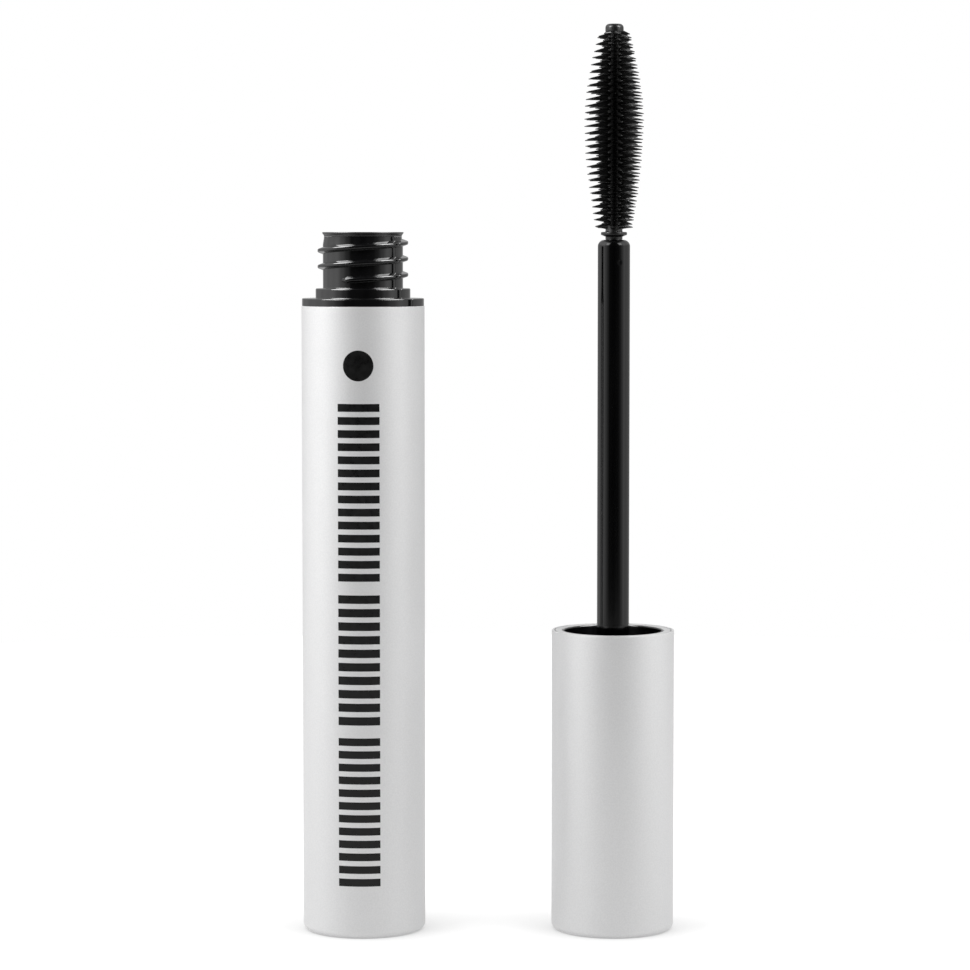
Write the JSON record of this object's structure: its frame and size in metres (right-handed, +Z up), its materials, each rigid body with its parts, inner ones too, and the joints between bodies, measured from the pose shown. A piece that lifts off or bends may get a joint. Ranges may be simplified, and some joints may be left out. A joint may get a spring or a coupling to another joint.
{
  "type": "mascara tube",
  "caption": "Mascara tube, opened: a silver bottle with a black threaded neck, and its capped applicator with a moulded brush standing beside it.",
  "frame": {"origin": "on the table, midway between the bottle's axis and the applicator's axis", "axes": "+Z up along both axes, +X from the bottle to the applicator, -Y the front"},
  "size_m": [0.0492, 0.016, 0.1198],
  "materials": {
    "silver_lacquer": "satin pearl silver lacquer",
    "black_gloss_plastic": "glossy moulded black",
    "black_rod_plastic": "glossy moulded black",
    "black_elastomer": "satin moulded elastomer",
    "mascara_paste": "wet black paste",
    "seal_foam": "matt foam liner"
  },
  "bodies": {
    "applicator": {"cap_shell": "silver_lacquer", "inner_cap": "black_gloss_plastic", "cap_seal": "seal_foam", "rod": "black_rod_plastic", "brush": "black_elastomer"},
    "bead": {"product_bead": "mascara_paste"},
    "product": {"mascara_product": "mascara_paste"},
    "wiper_insert": {"wiper": "black_elastomer"},
    "bottle": {"bottle_sleeve": "silver_lacquer", "inner_bottle": "black_gloss_plastic"}
  },
  "joints": [
    {"name": "turn_over", "type": "hinge", "parent": "applicator", "child": "bead", "pos_m": [0, 0, 0.10665], "axis": [0, 1, 0], "range_deg": [0, 180]},
    {"name": "lower_onto_wand", "type": "slide", "parent": "bead", "child": "product", "axis": [0, 0, 1], "range_m": [0, 0.085], "deforming": ["wiper"]},
    {"name": "thread_advance", "type": "slide", "parent": "product", "child": "wiper_insert", "axis": [0, 0, 1], "range_m": [0, 0.0042]},
    {"name": "screw_turn", "type": "hinge", "parent": "wiper_insert", "child": "bottle", "pos_m": [-0.01655, 0, 0.0415], "axis": [0, 0, 1], "range_deg": [0, 720]}
  ],
  "couplings": [
    {"joint": "thread_advance", "follows": "screw_turn", "m_per_rad": 0.00033423}
  ]
}
